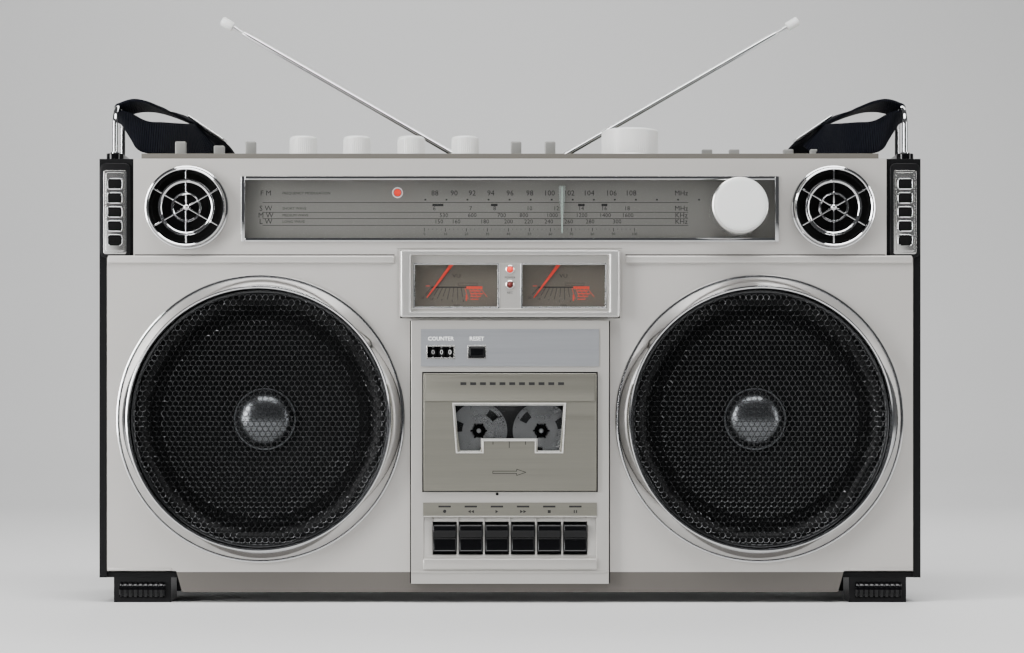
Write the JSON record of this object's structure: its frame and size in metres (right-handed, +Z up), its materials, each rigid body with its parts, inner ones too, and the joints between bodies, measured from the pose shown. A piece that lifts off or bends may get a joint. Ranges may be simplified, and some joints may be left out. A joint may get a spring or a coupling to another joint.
{
  "type": "radio cassette recorder",
  "caption": "Portable stereo radio cassette recorder with woofers, tweeters, tuning dial, level meters, tape deck, top controls, telescopic antennas and shoulder strap",
  "frame": {"origin": "bottom centre of the whole object, on the surface it stands on", "axes": "X to the right across the front, -Y out of the front, Z up"},
  "size_m": [0.559, 0.178, 0.4204],
  "materials": {
    "silver_plastic": "fine metallic silver paint, satin",
    "module_silver": "fine metallic silver paint, satin",
    "bright_trim": "bright plated, lightly brushed",
    "black_plastic": "finely grained moulding",
    "grille_black": "black enamelled perforated steel",
    "gloss_black": "polished black moulding",
    "deck_grey": "satin grey",
    "white_plastic": "smooth satin white",
    "brushed_aluminium": "horizontally brushed",
    "dial_paint": "satin printed scale",
    "clear_plastic": "clear moulding",
    "needle_red": "red enamel",
    "cone_paper": "pressed paper cone and coated basket",
    "reel_white": "printed reel disc",
    "steel": "zinc plated",
    "webbing": "ribbed navy webbing"
  },
  "bodies": {
    "root": {"front_panel": "silver_plastic", "rear_cabinet": "black_plastic", "top_panel": "deck_grey", "center_panel": "module_silver", "dial_scale": "dial_paint", "dial_window": "clear_plastic", "meter_bezel": "bright_trim", "woofer_ring_left": "bright_trim", "woofer_ring_right": "bright_trim", "woofer_grille_left": "grille_black", "woofer_grille_right": "grille_black", "woofer_driver_left": "cone_paper", "woofer_driver_right": "cone_paper", "tweeter_left": "bright_trim", "tweeter_right": "bright_trim", "strap_post_left": "bright_trim", "strap_post_right": "bright_trim", "strap": "webbing", "tape_chassis": "steel"},
    "battery_cover": {"battery_cover": "black_plastic"},
    "tuning_knob": {"tuning_knob": "white_plastic"},
    "dial_pointer": {"dial_pointer": "clear_plastic"},
    "meter_needle_left": {"meter_needle_left": "needle_red"},
    "meter_needle_right": {"meter_needle_right": "needle_red"},
    "cassette_door": {"cassette_door": "brushed_aluminium", "cassette_shell": "gloss_black"},
    "spindle_left": {"spindle_left": "gloss_black"},
    "cassette_reel_left": {"cassette_reel_left": "reel_white"},
    "spindle_right": {"spindle_right": "gloss_black"},
    "cassette_reel_right": {"cassette_reel_right": "reel_white"},
    "counter_wheel": {"counter_wheel": "gloss_black"},
    "key_record": {"key_record": "gloss_black"},
    "key_rewind": {"key_rewind": "gloss_black"},
    "key_play": {"key_play": "gloss_black"},
    "key_forward": {"key_forward": "gloss_black"},
    "key_stop": {"key_stop": "gloss_black"},
    "key_pause": {"key_pause": "gloss_black"},
    "button_counter_reset": {"button_counter_reset": "gloss_black"},
    "button_battery_check": {"button_battery_check": "bright_trim"},
    "knob_balance": {"knob_balance": "white_plastic"},
    "knob_bass": {"knob_bass": "white_plastic"},
    "knob_treble": {"knob_treble": "white_plastic"},
    "knob_mic_mix": {"knob_mic_mix": "white_plastic"},
    "knob_volume": {"knob_volume": "white_plastic"},
    "lever_light": {"lever_light": "deck_grey"},
    "lever_loudness": {"lever_loudness": "deck_grey"},
    "lever_wide": {"lever_wide": "deck_grey"},
    "lever_function": {"lever_function": "deck_grey"},
    "lever_mode": {"lever_mode": "deck_grey"},
    "lever_band_1": {"lever_band_1": "deck_grey"},
    "lever_band_2": {"lever_band_2": "deck_grey"},
    "lever_band_3": {"lever_band_3": "deck_grey"},
    "lever_band_4": {"lever_band_4": "deck_grey"},
    "lever_beat_cancel": {"lever_beat_cancel": "deck_grey"},
    "antenna_base_left": {"antenna_base_left": "bright_trim"},
    "antenna_tube_left": {"antenna_tube_left": "bright_trim"},
    "antenna_tip_left": {"antenna_tip_left": "bright_trim"},
    "antenna_base_right": {"antenna_base_right": "bright_trim"},
    "antenna_tube_right": {"antenna_tube_right": "bright_trim"},
    "antenna_tip_right": {"antenna_tip_right": "bright_trim"}
  },
  "joints": [
    {"name": "battery_cover_turn", "type": "hinge", "parent": "root", "child": "battery_cover", "pos_m": [0, 0.0822, 0.0375], "axis": [-1, 0, 0], "range_deg": [0, 75]},
    {"name": "tuning_knob_turn", "type": "hinge", "parent": "root", "child": "tuning_knob", "pos_m": [0.1545, -0.062, 0.2684], "axis": [0, 1, 0], "range_deg": [-705, 370]},
    {"name": "dial_pointer_slide", "type": "slide", "parent": "root", "child": "dial_pointer", "axis": [1, 0, 0], "range_m": [-0.0945, 0.0495]},
    {"name": "meter_needle_left_turn", "type": "hinge", "parent": "root", "child": "meter_needle_left", "pos_m": [-0.0364, -0.062, 0.2342], "axis": [0, -1, 0], "range_deg": [0, 74], "stiffness_Nm_per_rad": 0.00001, "springref_deg": -34.38},
    {"name": "meter_needle_right_turn", "type": "hinge", "parent": "root", "child": "meter_needle_right", "pos_m": [0.0364, -0.062, 0.2342], "axis": [0, -1, 0], "range_deg": [0, 74], "stiffness_Nm_per_rad": 0.00001, "springref_deg": -34.38},
    {"name": "cassette_door_turn", "type": "hinge", "parent": "root", "child": "cassette_door", "pos_m": [0, -0.0689, 0.0777], "axis": [1, 0, 0], "range_deg": [0, 32]},
    {"name": "spindle_left_turn", "type": "hinge", "parent": "root", "child": "spindle_left", "pos_m": [-0.02125, -0.062, 0.1169], "axis": [0, 1, 0], "continuous": true},
    {"name": "cassette_reel_left_turn", "type": "hinge", "parent": "cassette_door", "child": "cassette_reel_left", "pos_m": [-0.02125, -0.062, 0.1169], "axis": [0, 1, 0], "continuous": true},
    {"name": "spindle_right_turn", "type": "hinge", "parent": "root", "child": "spindle_right", "pos_m": [0.02125, -0.062, 0.1169], "axis": [0, 1, 0], "continuous": true},
    {"name": "cassette_reel_right_turn", "type": "hinge", "parent": "cassette_door", "child": "cassette_reel_right", "pos_m": [0.02125, -0.062, 0.1169], "axis": [0, 1, 0], "continuous": true},
    {"name": "counter_wheel_turn", "type": "hinge", "parent": "root", "child": "counter_wheel", "pos_m": [-0.0408, -0.0579, 0.17015], "axis": [1, 0, 0], "continuous": true},
    {"name": "key_record_press", "type": "hinge", "parent": "root", "child": "key_record", "pos_m": [-0.04425, -0.053, 0.0372], "axis": [1, 0, 0], "range_deg": [0, 8], "stiffness_Nm_per_rad": 0.08, "springref_deg": -4.58},
    {"name": "key_rewind_press", "type": "hinge", "parent": "root", "child": "key_rewind", "pos_m": [-0.02655, -0.053, 0.0372], "axis": [1, 0, 0], "range_deg": [0, 8], "stiffness_Nm_per_rad": 0.08, "springref_deg": -4.58},
    {"name": "key_play_press", "type": "hinge", "parent": "root", "child": "key_play", "pos_m": [-0.00885, -0.053, 0.0372], "axis": [1, 0, 0], "range_deg": [0, 8], "stiffness_Nm_per_rad": 0.08, "springref_deg": -4.58},
    {"name": "key_forward_press", "type": "hinge", "parent": "root", "child": "key_forward", "pos_m": [0.00885, -0.053, 0.0372], "axis": [1, 0, 0], "range_deg": [0, 8], "stiffness_Nm_per_rad": 0.08, "springref_deg": -4.58},
    {"name": "key_stop_press", "type": "hinge", "parent": "root", "child": "key_stop", "pos_m": [0.02655, -0.053, 0.0372], "axis": [1, 0, 0], "range_deg": [0, 8], "stiffness_Nm_per_rad": 0.08, "springref_deg": -4.58},
    {"name": "key_pause_press", "type": "hinge", "parent": "root", "child": "key_pause", "pos_m": [0.04425, -0.053, 0.0372], "axis": [1, 0, 0], "range_deg": [0, 8], "stiffness_Nm_per_rad": 0.08, "springref_deg": -4.58},
    {"name": "button_counter_reset_press", "type": "slide", "parent": "root", "child": "button_counter_reset", "axis": [0, 1, 0], "range_m": [0, 0.0015], "stiffness_N_per_m": 150, "springref_m": -0.002},
    {"name": "button_battery_check_press", "type": "slide", "parent": "root", "child": "button_battery_check", "axis": [0, 0, -1], "range_m": [0, 0.002], "stiffness_N_per_m": 200, "springref_m": -0.002},
    {"name": "knob_balance_turn", "type": "hinge", "parent": "root", "child": "knob_balance", "pos_m": [-0.1447, -0.017, 0.3057], "axis": [0, 0, 1], "range_deg": [-145, 145]},
    {"name": "knob_bass_turn", "type": "hinge", "parent": "root", "child": "knob_bass", "pos_m": [-0.1071, -0.017, 0.3057], "axis": [0, 0, 1], "range_deg": [-145, 145]},
    {"name": "knob_treble_turn", "type": "hinge", "parent": "root", "child": "knob_treble", "pos_m": [-0.0691, -0.017, 0.3057], "axis": [0, 0, 1], "range_deg": [-145, 145]},
    {"name": "knob_mic_mix_turn", "type": "hinge", "parent": "root", "child": "knob_mic_mix", "pos_m": [-0.0313, -0.017, 0.3057], "axis": [0, 0, 1], "range_deg": [-145, 145]},
    {"name": "knob_volume_turn", "type": "hinge", "parent": "root", "child": "knob_volume", "pos_m": [0.0843, -0.012, 0.3057], "axis": [0, 0, 1], "range_deg": [-150, 150]},
    {"name": "lever_light_slide", "type": "slide", "parent": "root", "child": "lever_light", "axis": [0, 1, 0], "range_m": [-0.003, 0.003]},
    {"name": "lever_loudness_slide", "type": "slide", "parent": "root", "child": "lever_loudness", "axis": [0, 1, 0], "range_m": [-0.003, 0.003]},
    {"name": "lever_wide_slide", "type": "slide", "parent": "root", "child": "lever_wide", "axis": [0, 1, 0], "range_m": [-0.003, 0.003]},
    {"name": "lever_function_slide", "type": "slide", "parent": "root", "child": "lever_function", "axis": [0, 1, 0], "range_m": [-0.003, 0.003]},
    {"name": "lever_mode_slide", "type": "slide", "parent": "root", "child": "lever_mode", "axis": [0, 1, 0], "range_m": [-0.003, 0.003]},
    {"name": "lever_band_1_slide", "type": "slide", "parent": "root", "child": "lever_band_1", "axis": [0, 1, 0], "range_m": [-0.003, 0.003]},
    {"name": "lever_band_2_slide", "type": "slide", "parent": "root", "child": "lever_band_2", "axis": [0, 1, 0], "range_m": [-0.003, 0.003]},
    {"name": "lever_band_3_slide", "type": "slide", "parent": "root", "child": "lever_band_3", "axis": [0, 1, 0], "range_m": [-0.003, 0.003]},
    {"name": "lever_band_4_slide", "type": "slide", "parent": "root", "child": "lever_band_4", "axis": [0, 1, 0], "range_m": [-0.003, 0.003]},
    {"name": "lever_beat_cancel_slide", "type": "slide", "parent": "root", "child": "lever_beat_cancel", "axis": [0, 1, 0], "range_m": [-0.003, 0.003]},
    {"name": "antenna_swivel_left", "type": "hinge", "parent": "root", "child": "antenna_base_left", "pos_m": [-0.028, 0.058, 0.302], "axis": [0, 0, -1], "range_deg": [0, 90]},
    {"name": "antenna_tilt_left", "type": "hinge", "parent": "antenna_base_left", "child": "antenna_tube_left", "pos_m": [-0.028, 0.058, 0.312], "axis": [0, 1, 0], "range_deg": [-18, 60]},
    {"name": "antenna_pull_left", "type": "slide", "parent": "antenna_tube_left", "child": "antenna_tip_left", "axis": [-0.866, 0, 0.5], "range_m": [0, 0.17]},
    {"name": "antenna_swivel_right", "type": "hinge", "parent": "root", "child": "antenna_base_right", "pos_m": [0.028, 0.058, 0.302], "axis": [0, 0, 1], "range_deg": [0, 90]},
    {"name": "antenna_tilt_right", "type": "hinge", "parent": "antenna_base_right", "child": "antenna_tube_right", "pos_m": [0.028, 0.058, 0.312], "axis": [0, -1, 0], "range_deg": [-18, 60]},
    {"name": "antenna_pull_right", "type": "slide", "parent": "antenna_tube_right", "child": "antenna_tip_right", "axis": [0.866, 0, 0.5], "range_m": [0, 0.17]}
  ],
  "couplings": [
    {"joint": "dial_pointer_slide", "follows": "tuning_knob_turn", "m_per_rad": 0.00764},
    {"joint": "cassette_reel_left_turn", "follows": "spindle_left_turn", "ratio": 1},
    {"joint": "cassette_reel_right_turn", "follows": "spindle_right_turn", "ratio": 1},
    {"joint": "counter_wheel_turn", "follows": "spindle_right_turn", "ratio": 0.1}
  ]
}
